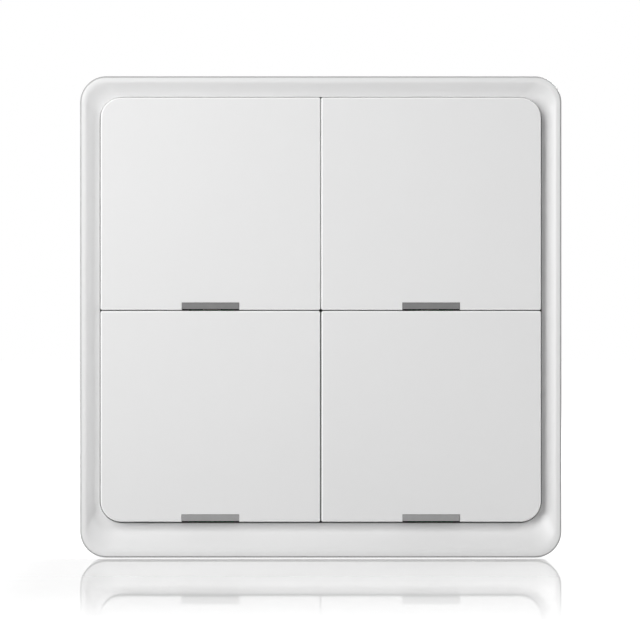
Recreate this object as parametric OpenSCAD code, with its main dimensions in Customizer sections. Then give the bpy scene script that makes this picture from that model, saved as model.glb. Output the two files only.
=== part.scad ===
// Square four-key wireless wall button, drawn lying on its back and then stood upright.
// Lying down, X is to the right, Y is up the panel and Z comes out of the wall behind it.

/* [Plate] */
// Width of the plate
body_w = 86; // [82:1:92]
// Height of the plate
body_h = 86; // [82:1:92]
// Radius of the plate's corners, seen from the front
corner_r = 4.7; // [3.5:0.1:6]
// Width of the flat rim around the front
rim_w = 0.85; // [0.6:0.05:1.2]
// Rounding of the rim's outer edge
edge_r = 0.35; // [0.1:0.05:0.5]
// Depth of the dished border below the rim
dish_depth = 1.45; // [0.8:0.05:1.6]
// Distance from the keys to the foot of the sloping border
shelf_w = 0.35; // [0.35:0.05:1.2]
// Thickness of the bezel's side walls
wall_t = 1.7; // [1.5:0.1:2]
// Gap between the bezel's foot and the wall behind it
foot_gap = 0.5; // [0.3:0.1:0.8]
// Width of the pry notch in the bezel's lower wall
notch_w = 8; // [4:1:14]
// Height of the pry notch
notch_h = 1.2; // [0.8:0.1:1.6]

/* [Keys] */
// Border between the plate's sides and the keys
side_border = 3.7; // [3.4:0.1:5]
// Border above the keys
top_border = 3.85; // [3.4:0.05:5]
// Border below the keys
bottom_border = 6.45; // [3.6:0.05:8]
// Gap between neighbouring keys
key_gap = 0.15; // [0.15:0.05:0.4]
// Gap between the keys and the bezel
edge_gap = 0.25; // [0.15:0.05:0.3]
// Radius of the key block's four outer corners
key_corner_r = 3.7; // [1:0.1:4]
// Radius of the keys' other corners
key_inner_r = 0.35; // [0.2:0.05:0.8]
// Rounding of the keys' front edges
key_edge_r = 0.3; // [0.1:0.05:0.5]
// Height of the keys above the rim
key_proud = 0.8; // [0.4:0.1:1.2]
// Thickness of a key's front
key_t = 1.5; // [1.2:0.1:2]
// Thickness of a key's skirt
key_skirt_t = 1.1; // [0.9:0.1:1.2]
// Angle in degrees that a key tips when it is pressed
press_angle = 1; // [0.5:0.1:1]
// Distance from the hinge to the switch under the key
press_reach = 20; // [16:1:24]
// Radius of the post that presses the switch
post_r = 1.5; // [1.2:0.1:1.8]
// Radius of the flat tip of that post
post_tip_r = 0.8; // [0.5:0.1:1]
// Width of the stiffening ribs behind a key
rib_w = 0.8; // [0.6:0.1:1.2]
// Height of the stiffening ribs
rib_h = 0.7; // [0.4:0.1:0.8]

/* [Hinges and hooks] */
// Distance from a key's upper edge to its hinge
hinge_inset = 3; // [2.9:0.1:4]
// Distance between a key's two hinge arms
hinge_spread = 26; // [20:1:27]
// Radius of the hinge pins
pin_r = 0.8; // [0.65:0.05:1]
// Length of a hinge pin outside its arm
pin_l = 1.8; // [1.4:0.1:2.2]
// Radial clearance around a hinge pin
pin_clear = 0.05; // [0.03:0.01:0.08]
// Thickness of a hinge arm
arm_t = 1.2; // [1:0.1:1.6]
// Width of a hinge arm up the key
arm_w = 2.2; // [2:0.1:2.6]
// Thickness of a saddle ear on the carrier
ear_t = 1.4; // [1:0.1:1.6]
// Width of a saddle ear up the key
ear_w = 3.2; // [2.8:0.1:3.4]
// Height of a saddle ear's lips above the hinge
ear_lip = 0.5; // [0.4:0.05:0.6]
// Distance between a key's two retaining hooks
hook_spread = 28; // [22:1:30]
// Distance from a key's lower edge to its hooks
hook_inset = 4; // [3.6:0.1:6]
// Width of a hook
hook_w = 2.4; // [1.8:0.1:3]
// Thickness of a hook's leg
hook_t = 1; // [0.8:0.1:1.2]
// Reach of a hook's barb under the carrier
hook_barb = 0.6; // [0.4:0.1:0.8]
// Height of a hook's barb
hook_barb_h = 0.6; // [0.4:0.1:0.8]

/* [Light windows] */
// Width of a light window
window_w = 10.2; // [8:0.2:14]
// Height of a light window
window_h = 1.15; // [0.9:0.05:1.6]
// Set-back of a window from its key's lower edge
window_inset = 0.15; // [0.1:0.05:0.3]
// Set-back of a window's face behind the key's face
window_sink = 0.05; // [0.02:0.01:0.1]
// Length of the foot that holds a window behind its key
window_foot = 1.7; // [1:0.1:2]
// Thickness of that foot
window_foot_t = 0.8; // [0.5:0.1:1]
// Width of the light guide behind a window
guide_w = 7; // [4:0.5:7.5]
// Thickness of the light guide
guide_t = 1.1; // [0.8:0.05:1.1]

/* [Base and carrier] */
// Thickness of the base's floor
base_t = 1.4; // [1.2:0.1:2]
// Thickness of the base's walls
base_wall_t = 1.3; // [1:0.1:1.5]
// Height of the board's standoffs over the base's floor
standoff_h = 1.2; // [1:0.1:2]
// Radius of the standoffs
boss_r = 2.5; // [2:0.1:3]
// Distance between the two wall screws
screw_spacing = 60; // [58:1:62]
// Width of the wall screw slots
slot_w = 4; // [3.6:0.1:4.5]
// Length of the wall screw slots, end to end
slot_l = 7; // [6:0.5:8]
// Width of an adhesive pad
pad_w = 60; // [40:1:62]
// Height of an adhesive pad
pad_h = 12; // [8:1:14]
// Thickness of an adhesive pad
pad_t = 0.6; // [0.4:0.1:0.8]
// Distance between the middles of the two pads
pad_spacing = 52; // [44:1:54]
// Width of a snap clip in the base's side walls
clip_w = 8; // [6:0.5:12]
// Distance between the two clips of a side
clip_spacing = 40; // [30:1:50]
// Width of the slits beside a clip
clip_slit = 0.8; // [0.6:0.1:1.2]
// Reach of a clip's barb outside the wall
clip_barb = 0.8; // [0.5:0.1:0.9]
// Height of a clip's barb
clip_barb_h = 1.3; // [1:0.1:1.6]
// Height of a clip's barb over the base's floor
clip_rise = 2.6; // [2:0.1:3]
// Thickness of the key carrier
carrier_t = 1; // [0.8:0.1:1.4]
// Radius of the carrier's supports on the board
support_r = 1.5; // [1:0.1:1.8]
// Distance between the two columns of supports
support_spacing = 25; // [24.6:0.1:27]

/* [Circuit board] */
// Thickness of the circuit board
board_t = 1.2; // [0.8:0.1:1.6]
// Radius of the holes that let a driver reach the wall screws
access_r = 4.2; // [3.8:0.1:4.2]
// Distance from the board's edges to its screws
board_screw_inset = 4.3; // [3.5:0.1:5]
// Radius of the board screws' shanks
screw_r = 1; // [0.8:0.05:1.1]
// Radius of the board screws' heads
screw_head_r = 1.9; // [1.6:0.1:2.2]
// Height of the board screws' heads
screw_head_h = 1.3; // [1:0.1:1.6]
// Length of the board screws' shanks
screw_l = 3; // [2.6:0.1:3.2]
// Side of a switch
switch_w = 6; // [5:0.1:6.5]
// Height of a switch's base
switch_h = 3.2; // [2.8:0.1:4]
// Thickness of a switch's steel cover
cover_t = 0.3; // [0.2:0.05:0.4]
// Radius of a switch's plunger
plunger_r = 1.75; // [1.4:0.05:1.8]
// Height of a plunger over its cover
plunger_h = 0.8; // [0.7:0.05:1]
// Radius of the chamber inside a switch
chamber_r = 2.35; // [2.2:0.05:2.45]
// Depth of the chamber inside a switch
chamber_h = 1.1; // [1:0.05:1.3]
// Height of a snap dome
dome_h = 0.4; // [0.35:0.01:0.45]
// Thickness of a snap dome
dome_t = 0.12; // [0.08:0.01:0.16]
// Width of a switch terminal
terminal_w = 0.7; // [0.5:0.05:0.75]
// Thickness of a switch terminal
terminal_t = 0.3; // [0.2:0.05:0.35]
// Length of a switch terminal under the board
terminal_tail = 0.7; // [0.4:0.1:0.8]
// Height of a switch terminal over the board
terminal_rise = 1.1; // [0.6:0.1:1.4]
// Distance between the two terminals on a side of a switch
terminal_spacing = 4.5; // [3.5:0.1:4.6]
// Radius of the board's holes for the terminals
terminal_hole_r = 0.5; // [0.45:0.05:0.6]
// Length of an indicator light
led_w = 3.2; // [2:0.1:3.4]
// Depth of an indicator light
led_d = 1.6; // [1.2:0.1:1.8]
// Height of an indicator light
led_h = 0.8; // [0.6:0.1:1]
// Length of its clear lens
led_lens_w = 2; // [1.2:0.1:2]
// Height of the lens within the light
led_lens_h = 0.3; // [0.2:0.05:0.4]

/* [Battery] */
// Radius of the coin cell
cell_r = 10; // [9:0.1:10.4]
// Thickness of the coin cell
cell_t = 3.2; // [2.5:0.1:3.6]
// Radius of the cell's smaller end
cell_cap_r = 8.6; // [7:0.1:8.8]
// Height of the cell's smaller end
cell_step = 0.4; // [0.2:0.05:0.6]
// Bevel of the cell's edges
cell_bevel = 0.3; // [0.1:0.05:0.4]
// Distance of the battery below the plate's middle
battery_drop = 14; // [13.5:0.1:15]
// Thickness of the battery holder's floor
holder_floor_t = 0.3; // [0.25:0.05:0.5]
// Thickness of the battery holder's wall
holder_wall_t = 1.4; // [1:0.1:1.6]
// Height of the battery holder's wall over its floor
holder_wall_h = 2.4; // [1.6:0.1:2.6]
// Width of the mouth that the cell slides out of
holder_mouth = 14; // [10:0.5:16]
// Thickness of the battery's spring contacts
contact_t = 0.25; // [0.15:0.05:0.25]
// Radius of the round negative contact
contact_r = 5; // [4:0.1:6]
// Width of the positive contact
clip_contact_w = 5.4; // [4:0.1:6.4]
// Length of the positive contact's soldered foot
clip_foot = 3.2; // [2.4:0.1:3.6]

/* [Radio and chips] */
// Width of the radio board
radio_w = 16; // [14:0.5:18]
// Height of the radio board
radio_h = 20; // [18:0.5:21]
// Thickness of the radio board
radio_t = 0.8; // [0.6:0.1:1]
// Distance from the circuit board's upper edge to the radio board
radio_inset = 5.3; // [4.5:0.1:6]
// Width of the radio's shield
shield_w = 13; // [11:0.5:13.5]
// Height of the radio's shield up the board
shield_h = 12; // [10:0.5:12]
// Height of the shield over the radio board
shield_top = 1.8; // [1.4:0.1:2]
// Thickness of the shield's sheet
shield_t = 0.2; // [0.15:0.05:0.3]
// Margin between the shield and the radio board's lower edge
shield_margin = 1; // [0.6:0.1:1.4]
// Number of the antenna's runs
antenna_runs = 6; // [4:1:6]
// Length of one run of the antenna
antenna_l = 3; // [2:0.1:3.4]
// Distance between the antenna's runs
antenna_pitch = 2; // [1.4:0.1:2.2]
// Width of the antenna's trace
trace_w = 0.4; // [0.3:0.05:0.5]
// Thickness of the antenna's trace
trace_t = 0.1; // [0.05:0.01:0.1]
// Length of the crystal
crystal_w = 3.2; // [2.5:0.1:4]
// Depth of the crystal
crystal_d = 2.5; // [2:0.1:3]
// Height of the crystal
crystal_h = 0.8; // [0.6:0.1:1]
// Length of a chip resistor or capacitor
chip_w = 1.6; // [1:0.1:2]
// Depth of a chip resistor or capacitor
chip_d = 0.8; // [0.5:0.1:1.2]
// Height of a chip resistor
resistor_h = 0.45; // [0.3:0.05:0.6]
// Height of a chip capacitor
capacitor_h = 0.8; // [0.5:0.1:1]
// Distance from an indicator light to its resistor
resistor_reach = 4.5; // [4:0.1:5]
// Distance from a switch to its capacitor
capacitor_reach = 6; // [5.4:0.1:6.5]
// Distance from the radio board to the crystal below it
crystal_drop = 3.5; // [2.5:0.1:4]

/* [Hidden] */

$fn = 48;

// Columns and rows of keys
left = -1;
right = 1;
upper = 1;
lower = -1;
columns = [left, right];
rows = [upper, lower];

// Overshoot of cuts, sinking of joined pieces and least radius of a rounded corner
cut = 1;
bite = 0.4;
least_r = 0.05;

// Clearances: push fits, loose fits, stops that almost touch, room over the pins
fit = 0.2;
glue_gap = 0.05;
stop_gap = 0.05;
post_gap = 0.03;
pin_room = 0.2;
skirt_room = 0.15;
guide_room = 0.4;
slot_room = 0.6;
running_fit = 0.1;
screw_fit = 0.02;

// Steps of the rounded edges
edge_steps = 3;

// Key block and its keys
block_w = body_w - 2 * side_border;
block_h = body_h - top_border - bottom_border;
block_y = (bottom_border - top_border) / 2;
key_w = (block_w - key_gap) / 2;
key_h = (block_h - key_gap) / 2;
hollow_r = 1.5;

// Levels, from the wall outwards
board_z = base_t + standoff_h;
board_top = board_z + board_t;
switch_top = board_top + switch_h;
cover_top = switch_top + cover_t;
plunger_top = cover_top + plunger_h;
cell_z = board_top + holder_floor_t;
cell_top = cell_z + cell_t;
carrier_z = max(cover_top, cell_top) + fit;
carrier_top = carrier_z + carrier_t;
hinge_z = carrier_top + pin_room + pin_r;
key_z = hinge_z + pin_r + pin_room;
key_top = key_z + key_t;
rim_z = key_top - key_proud;
shelf_z = rim_z - dish_depth;

// Travel of a pressed key's lower edge, and what has to clear it
edge_travel = (key_h - hinge_inset) * sin(press_angle);
skirt_z = carrier_top + edge_travel + skirt_room;
guide_z = board_top + led_h + edge_travel + guide_room;
barb_top = carrier_z - stop_gap;

// Cavity of the bezel, and the base, carrier and board that fit in it
cavity_w = body_w - 2 * wall_t;
cavity_h = body_h - 2 * wall_t;
cavity_r = corner_r - wall_t;
base_w = cavity_w - 2 * fit;
base_h = cavity_h - 2 * fit;
base_r = cavity_r - fit;
tray_w = base_w - 2 * base_wall_t;
tray_h = base_h - 2 * base_wall_t;
tray_r = max(base_r - base_wall_t, fit);
board_gap = 0.5;
board_w = tray_w - 2 * board_gap;
board_h = tray_h - 2 * board_gap;
board_r = 1.5;

// Inside of a switch
chamber_z = switch_top - chamber_h;
dome_top_r = 0.8;
dome_r = chamber_r - 2 * running_fit;
nub_r = 0.6;
nub_z = chamber_z + dome_h + screw_fit;
nub_h = 0.08;
flange_r = chamber_r - running_fit;
flange_top = switch_top - screw_fit;

// Battery holder and the supports around it
holder_r = cell_r + 2 * fit;
holder_outer_r = holder_r + holder_wall_t;
clip_gap = holder_outer_r - sqrt(pow(cell_r, 2) - pow(clip_contact_w / 2, 2)) + fit;
battery_y = -battery_drop;
support_up = 23;
support_down = 17;
radio_y = board_h / 2 - radio_inset - radio_h / 2;
cross_l = 2;
cross_w = 0.5;
cross_h = 0.6;
cross_drop = 0.3;

// Places on the panel
function key_x(col) = col * (key_w + key_gap) / 2;
function key_edge_y(row) = block_y + (row == upper ? block_h / 2 : -key_gap / 2);
function switch_y(row) = key_edge_y(row) - hinge_inset - press_reach;
function guide_y(row) = key_edge_y(row) - key_h + window_inset + guide_t / 2;

// One corner of an outline, and an outline of four corners from the upper right one
function corner(x, y, r, start) =
    [for (i = [0:8]) [x + r * cos(start + 90 * i / 8), y + r * sin(start + 90 * i / 8)]];
function outline(w, h, radii) = concat(
    corner(w / 2 - radii[0], h / 2 - radii[0], radii[0], 0),
    corner(-w / 2 + radii[1], h / 2 - radii[1], radii[1], 90),
    corner(-w / 2 + radii[2], -h / 2 + radii[2], radii[2], 180),
    corner(w / 2 - radii[3], -h / 2 + radii[3], radii[3], 270)
);
function shrunk(radii, by) = [for (r = radii) max(r - by, least_r)];
function evened(r) = [r, r, r, r];
function ring(points, place) = [for (p = points) [p[0], p[1], 0] + place];

module upright() {
    rotate([90, 0, 0]) children();
}

module at_key(col, row) {
    translate([key_x(col), key_edge_y(row), 0]) children();
}

module along_x(length) {
    rotate([90, 0, 90]) linear_extrude(length, center = true) children();
}

module along_y(length) {
    rotate([90, 0, 0]) linear_extrude(length, center = true) children();
}

// A box that stands on z and is centred across
module block(w, d, z, top) {
    translate([-w / 2, -d / 2, z]) cube([w, d, top - z]);
}

module disc(r, z, top) {
    translate([0, 0, z]) cylinder(r = r, h = top - z);
}

module rounded_square(w, h, r) {
    square([w - 2 * r, h], center = true);
    square([w, h - 2 * r], center = true);
    for (x = [-1, 1], y = [-1, 1])
        translate([x * (w / 2 - r), y * (h / 2 - r)]) circle(r);
}

module rounded_plate(w, h, r, z, top) {
    translate([0, 0, z]) linear_extrude(top - z) rounded_square(w, h, r);
}

// A solid through level rings of points that run the same way round
module loft(rings) {
    n = len(rings[0]);
    last = len(rings) - 1;
    first_cap = [for (i = [0:n - 1]) i];
    last_cap = [for (i = [n - 1:-1:0]) last * n + i];
    sides = [
        for (k = [0:last - 1], i = [0:n - 1])
            let (a = k * n + i, b = k * n + (i + 1) % n)
            each [[a, a + n, b + n], [a, b + n, b]]
    ];
    polyhedron([for (ring = rings) each ring], concat([first_cap], sides, [last_cap]));
}

// A prism of an outline whose front edge is rounded
module soft_block(w, h, radii, z, top, edge) {
    loft(concat(
        [ring(outline(w, h, radii), [0, 0, z])],
        [for (i = [0:edge_steps])
            let (a = 90 * i / edge_steps, inset = edge * (1 - cos(a)))
            ring(outline(w - 2 * inset, h - 2 * inset, shrunk(radii, inset)),
                [0, 0, top - edge * (1 - sin(a))])]
    ));
}

// The bowl of the dished border, sloping from the keys up to the rim's inner edge and past it
module dish() {
    shelf_outline = outline(block_w + 2 * shelf_w, block_h + 2 * shelf_w, evened(key_corner_r + shelf_w));
    rim_outline = outline(body_w - 2 * rim_w, body_h - 2 * rim_w, evened(corner_r - rim_w));
    loft([
        ring(shelf_outline, [0, block_y, shelf_z]),
        ring(rim_outline, [0, 0, rim_z]),
        ring(rim_outline, [0, 0, rim_z + cut])
    ]);
}

module at_clips() {
    for (side = columns, end = [-1, 1])
        translate([side * base_w / 2, end * clip_spacing / 2, base_t + clip_rise])
            mirror([side == left ? 1 : 0, 0, 0]) children();
}

module front_bezel() {
    pocket = fit + clip_barb + fit;
    color("white") upright() difference() {
        soft_block(body_w, body_h, evened(corner_r), foot_gap, rim_z, edge_r);
        dish();
        translate([0, block_y, 0])
            rounded_plate(block_w + 2 * edge_gap, block_h + 2 * edge_gap, key_corner_r + edge_gap,
                carrier_top - cut, shelf_z + cut);
        rounded_plate(cavity_w, cavity_h, cavity_r, foot_gap - cut, carrier_top);
        at_clips()
            block(2 * pocket, clip_w + 2 * fit, -fit, clip_barb_h + fit);
        translate([0, -body_h / 2, foot_gap - cut])
            block(notch_w, 3 * wall_t, 0, cut + notch_h);
    }
}

module key_carrier() {
    ear_x = (hinge_spread + arm_t + ear_t) / 2 + fit;
    color("dimgray") upright() difference() {
        union() {
            rounded_plate(base_w, base_h, base_r, carrier_z, carrier_top);
            for (col = columns, row = rows, side = columns)
                at_key(col, row) translate([side * ear_x, -hinge_inset, 0])
                    block(ear_t, ear_w, carrier_top - bite, hinge_z + ear_lip);
            for (x = [-1, 1], y = [support_up, -support_down])
                translate([x * support_spacing / 2, battery_y + y, 0])
                    disc(support_r, board_top, carrier_z + bite);
        }
        for (col = columns, row = rows) {
            translate([key_x(col), switch_y(row), 0])
                disc(max(post_r, plunger_r) + slot_room, carrier_z - cut, carrier_top + cut);
            translate([key_x(col), guide_y(row), 0])
                block(guide_w + 2 * slot_room, guide_t + 2 * slot_room, carrier_z - cut, carrier_top + cut);
            at_key(col, row) for (side = columns) {
                translate([side * ear_x, -hinge_inset, hinge_z])
                    along_x(ear_t + cut) circle(pin_r + pin_clear);
                translate([side * hook_spread / 2, hook_inset - key_h, 0])
                    block(hook_w + 2 * fit, hook_t + 2 * fit, carrier_z - cut, carrier_top + cut);
            }
        }
    }
}

module wall_slot() {
    ends = (slot_l - slot_w) / 2;
    square([2 * ends, slot_w], center = true);
    for (x = [-ends, ends]) translate([x, 0]) circle(slot_w / 2);
}

module at_board_screws() {
    for (x = [-1, 1], y = [-1, 1])
        translate([x * (board_w / 2 - board_screw_inset), y * (board_h / 2 - board_screw_inset), 0])
            children();
}

module rear_base() {
    slit_y = (clip_w + clip_slit) / 2;
    color("whitesmoke") upright() {
        difference() {
            union() {
                rounded_plate(base_w, base_h, base_r, 0, base_t);
                difference() {
                    rounded_plate(base_w, base_h, base_r, base_t - bite, carrier_z);
                    rounded_plate(tray_w, tray_h, tray_r, base_t - cut, carrier_z + cut);
                }
                at_board_screws() disc(boss_r, base_t - bite, board_z);
            }
            for (x = [-1, 1]) translate([x * screw_spacing / 2, 0, -cut])
                linear_extrude(base_t + 2 * cut) wall_slot();
            for (y = [-1, 1]) translate([0, y * pad_spacing / 2, 0])
                block(pad_w + 2 * fit, pad_h + 2 * fit, -cut, pad_t);
            at_board_screws()
                disc(screw_r + screw_fit, board_top - screw_l - fit, board_z + cut);
            at_clips() for (y = [-slit_y, slit_y]) translate([0, y, 0])
                block(2 * base_wall_t + cut, clip_slit, -clip_rise, carrier_z);
        }
        at_clips() along_y(clip_w) polygon([
            [-bite, 0], [clip_barb, 0], [clip_barb, clip_barb_h / 4], [-bite, clip_barb_h]
        ]);
    }
}

module adhesive_pads() {
    color("lightgray") upright() for (y = [-1, 1]) translate([0, y * pad_spacing / 2, 0])
        block(pad_w, pad_h, 0, pad_t);
}

module window_notch() {
    depth = window_inset + window_h + glue_gap;
    translate([0, (depth - cut) / 2 - key_h, 0])
        block(window_w + 2 * glue_gap, depth + cut, skirt_z - cut, key_top + cut);
}

// Key face and skirt, with the large radius on the corner that is also a corner of the block
module key_cap(col, row) {
    big = key_corner_r;
    small = key_inner_r;
    radii = [
        col == right && row == upper ? big : small, col == left && row == upper ? big : small,
        col == left && row == lower ? big : small, col == right && row == lower ? big : small
    ];
    difference() {
        translate([0, -key_h / 2, 0])
            soft_block(key_w, key_h, radii, skirt_z, key_top, key_edge_r);
        translate([0, -key_h / 2, 0])
            rounded_plate(key_w - 2 * key_skirt_t, key_h - 2 * key_skirt_t, hollow_r, skirt_z - cut, key_z);
        window_notch();
    }
}

module key_hook() {
    along_x(hook_w) polygon([
        [-hook_t / 2, barb_top - hook_barb_h], [hook_t / 2, barb_top - hook_barb_h],
        [hook_t / 2 + hook_barb, barb_top - hook_barb_h / 2], [hook_t / 2 + hook_barb, barb_top],
        [hook_t / 2, barb_top], [hook_t / 2, key_z + bite], [-hook_t / 2, key_z + bite]
    ]);
}

module key_post() {
    tip = plunger_top + post_gap;
    rotate_extrude() polygon([
        [0, tip], [post_tip_r, tip], [post_r, tip + post_r - post_tip_r],
        [post_r, key_z + bite], [0, key_z + bite]
    ]);
}

module key(col, row) {
    rib_l = key_h - hinge_inset - hook_inset;
    color("white") upright() at_key(col, row) {
        key_cap(col, row);
        translate([0, -hinge_inset - press_reach, 0]) key_post();
        for (side = columns) {
            translate([side * hinge_spread / 2, -hinge_inset, 0]) {
                block(arm_t, arm_w, hinge_z - pin_r, key_z + bite);
                translate([side * pin_l / 2, 0, hinge_z]) along_x(pin_l + arm_t) circle(pin_r);
                translate([0, -rib_l / 2, 0]) block(rib_w, rib_l, key_z - rib_h, key_z + bite);
            }
            translate([side * hook_spread / 2, hook_inset - key_h, 0]) key_hook();
        }
    }
}

module light_window(col, row) {
    face_top = window_inset + window_h;
    color("gray") upright() at_key(col, row) translate([0, -key_h, 0]) {
        translate([0, window_inset + window_h / 2, 0])
            block(window_w, window_h, skirt_z, key_top - window_sink);
        translate([0, face_top + (window_foot - bite) / 2, 0])
            block(window_w, window_foot + bite, key_z - window_foot_t, key_z);
        translate([0, window_inset + guide_t / 2, 0])
            block(guide_w, guide_t, guide_z, skirt_z + bite);
    }
}

module at_terminals() {
    for (x = [-1, 1], y = [-1, 1])
        translate([x * (switch_w + terminal_t) / 2, y * terminal_spacing / 2, 0]) children();
}

module circuit_board() {
    color("darkgreen") upright() difference() {
        rounded_plate(board_w, board_h, board_r, board_z, board_top);
        for (x = [-1, 1]) translate([x * screw_spacing / 2, 0, 0])
            disc(access_r, board_z - cut, board_top + cut);
        at_board_screws() disc(screw_r + running_fit, board_z - cut, board_top + cut);
        for (col = columns, row = rows) translate([key_x(col), switch_y(row), 0])
            at_terminals() disc(terminal_hole_r, board_z - cut, board_top + cut);
    }
}

module board_screws() {
    head_top = board_top + screw_head_h;
    color("silver") upright() at_board_screws() difference() {
        union() {
            disc(screw_r, board_top - screw_l, board_top + bite);
            translate([0, 0, board_top]) rotate_extrude() polygon([
                [0, 0], [screw_head_r, 0], [screw_head_r, screw_head_h - cross_drop],
                [screw_head_r - cross_drop, screw_head_h], [0, screw_head_h]
            ]);
        }
        block(cross_l, cross_w, head_top - cross_h, head_top + cut);
        block(cross_w, cross_l, head_top - cross_h, head_top + cut);
    }
}

module at_switch(col, row) {
    upright() translate([key_x(col), switch_y(row), 0]) children();
}

module switch_base(col, row) {
    color("dimgray") at_switch(col, row) difference() {
        block(switch_w, switch_w, board_top, switch_top);
        disc(chamber_r, chamber_z, switch_top + cut);
    }
}

module switch_cover(col, row) {
    color("silver") at_switch(col, row) difference() {
        block(switch_w, switch_w, switch_top, cover_top);
        disc(plunger_r + running_fit, switch_top - cut, cover_top + cut);
    }
}

module switch_dome(col, row) {
    color("gold") at_switch(col, row) translate([0, 0, chamber_z]) rotate_extrude() polygon([
        [0, dome_h - dome_t], [dome_top_r, dome_h - dome_t], [dome_r, 0],
        [dome_r, dome_t], [dome_top_r, dome_h], [0, dome_h]
    ]);
}

module switch_plunger(col, row) {
    color("black") at_switch(col, row) rotate_extrude() polygon([
        [0, nub_z], [nub_r, nub_z], [nub_r, nub_z + nub_h], [flange_r, nub_z + nub_h],
        [flange_r, flange_top], [plunger_r, flange_top], [plunger_r, plunger_top], [0, plunger_top]
    ]);
}

module switch_terminals() {
    color("silver") for (col = columns, row = rows) at_switch(col, row) at_terminals()
        block(terminal_t, terminal_w, board_z - terminal_tail, board_top + terminal_rise);
}

module indicator_led(col, row) {
    color("ivory") upright() translate([key_x(col), guide_y(row), 0]) {
        block(led_w, led_d, board_top, board_top + led_h - led_lens_h);
        block(led_lens_w, led_d - 2 * running_fit, board_top, board_top + led_h);
    }
}

module radio_board() {
    color("green") upright() translate([0, radio_y, 0])
        block(radio_w, radio_h, board_top, board_top + radio_t);
}

module radio_shield() {
    z = board_top + radio_t;
    color("silver") upright()
        translate([0, radio_y + (shield_h - radio_h) / 2 + shield_margin, 0]) difference() {
            block(shield_w, shield_h, z, z + shield_top);
            block(shield_w - 2 * shield_t, shield_h - 2 * shield_t, z - cut, z + shield_top - shield_t);
        }
}

module radio_antenna() {
    z = board_top + radio_t;
    middle = radio_y + (shield_h + shield_margin) / 2;
    first_x = -antenna_pitch * (antenna_runs - 1) / 2;
    color("gold") upright() translate([first_x, middle, 0]) for (i = [0:antenna_runs - 1]) {
        translate([i * antenna_pitch, 0, 0]) block(trace_w, antenna_l, z, z + trace_t);
        if (i < antenna_runs - 1)
            translate([(i + 0.5) * antenna_pitch, (i % 2 - 0.5) * (antenna_l - trace_w), 0])
                block(antenna_pitch, trace_w, z, z + trace_t);
    }
}

module crystal() {
    color("silver") upright()
        translate([0, radio_y - radio_h / 2 - crystal_drop, 0])
            block(crystal_w, crystal_d, board_top, board_top + crystal_h);
}

module chip_resistors() {
    color("black") upright() for (col = columns, row = rows)
        translate([key_x(col) - col * resistor_reach, guide_y(row), 0])
            block(chip_w, chip_d, board_top, board_top + resistor_h);
}

module chip_capacitors() {
    color("tan") upright() for (col = columns, row = rows)
        translate([key_x(col) + col * capacitor_reach, switch_y(row), 0])
            block(chip_w, chip_d, board_top, board_top + capacitor_h);
}

module battery_holder() {
    color("black") upright() translate([0, battery_y, 0]) difference() {
        disc(holder_outer_r, board_top, cell_z + holder_wall_h);
        disc(holder_r, cell_z, cell_top);
        disc(contact_r + fit, board_top - cut, cell_z + cut);
        translate([0, holder_outer_r, 0])
            block(clip_contact_w + 2 * fit, 2 * clip_gap, board_top - cut, cell_top);
        translate([0, -holder_outer_r, 0])
            block(holder_mouth, holder_outer_r, cell_z, cell_top);
    }
}

module battery_positive_clip() {
    inner = cell_r + stop_gap;
    color("silver") upright() translate([0, battery_y, 0]) {
        intersection() {
            difference() {
                disc(inner + contact_t, board_top, cell_z + holder_wall_h);
                disc(inner, board_top - cut, cell_top);
            }
            translate([0, inner, 0]) block(clip_contact_w, inner, board_top, cell_top);
        }
        translate([0, inner + clip_foot / 2, 0])
            block(clip_contact_w, clip_foot - contact_t, board_top, board_top + contact_t);
    }
}

module battery_negative_contact() {
    color("silver") upright() translate([0, battery_y, 0]) disc(contact_r, board_top, cell_z);
}

module coin_cell() {
    color("silver") upright() translate([0, battery_y, cell_z]) rotate_extrude() polygon([
        [0, 0], [cell_cap_r, 0], [cell_cap_r, cell_step], [cell_r - cell_bevel, cell_step],
        [cell_r, cell_step + cell_bevel], [cell_r, cell_t - cell_bevel],
        [cell_r - cell_bevel, cell_t], [0, cell_t]
    ]);
}

front_bezel();
key_carrier();
rear_base();
adhesive_pads();
key(left, upper);  // key_upper_left
key(right, upper);  // key_upper_right
key(left, lower);  // key_lower_left
key(right, lower);  // key_lower_right
light_window(left, upper);  // light_window_upper_left
light_window(right, upper);  // light_window_upper_right
light_window(left, lower);  // light_window_lower_left
light_window(right, lower);  // light_window_lower_right
circuit_board();
board_screws();
switch_base(left, upper);  // switch_base_upper_left
switch_base(right, upper);  // switch_base_upper_right
switch_base(left, lower);  // switch_base_lower_left
switch_base(right, lower);  // switch_base_lower_right
switch_cover(left, upper);  // switch_cover_upper_left
switch_cover(right, upper);  // switch_cover_upper_right
switch_cover(left, lower);  // switch_cover_lower_left
switch_cover(right, lower);  // switch_cover_lower_right
switch_dome(left, upper);  // switch_dome_upper_left
switch_dome(right, upper);  // switch_dome_upper_right
switch_dome(left, lower);  // switch_dome_lower_left
switch_dome(right, lower);  // switch_dome_lower_right
switch_plunger(left, upper);  // switch_plunger_upper_left
switch_plunger(right, upper);  // switch_plunger_upper_right
switch_plunger(left, lower);  // switch_plunger_lower_left
switch_plunger(right, lower);  // switch_plunger_lower_right
switch_terminals();
indicator_led(left, upper);  // indicator_led_upper_left
indicator_led(right, upper);  // indicator_led_upper_right
indicator_led(left, lower);  // indicator_led_lower_left
indicator_led(right, lower);  // indicator_led_lower_right
radio_board();
radio_shield();
radio_antenna();
crystal();
chip_resistors();
chip_capacitors();
battery_holder();
battery_positive_clip();
battery_negative_contact();
coin_cell();
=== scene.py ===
import math

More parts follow.
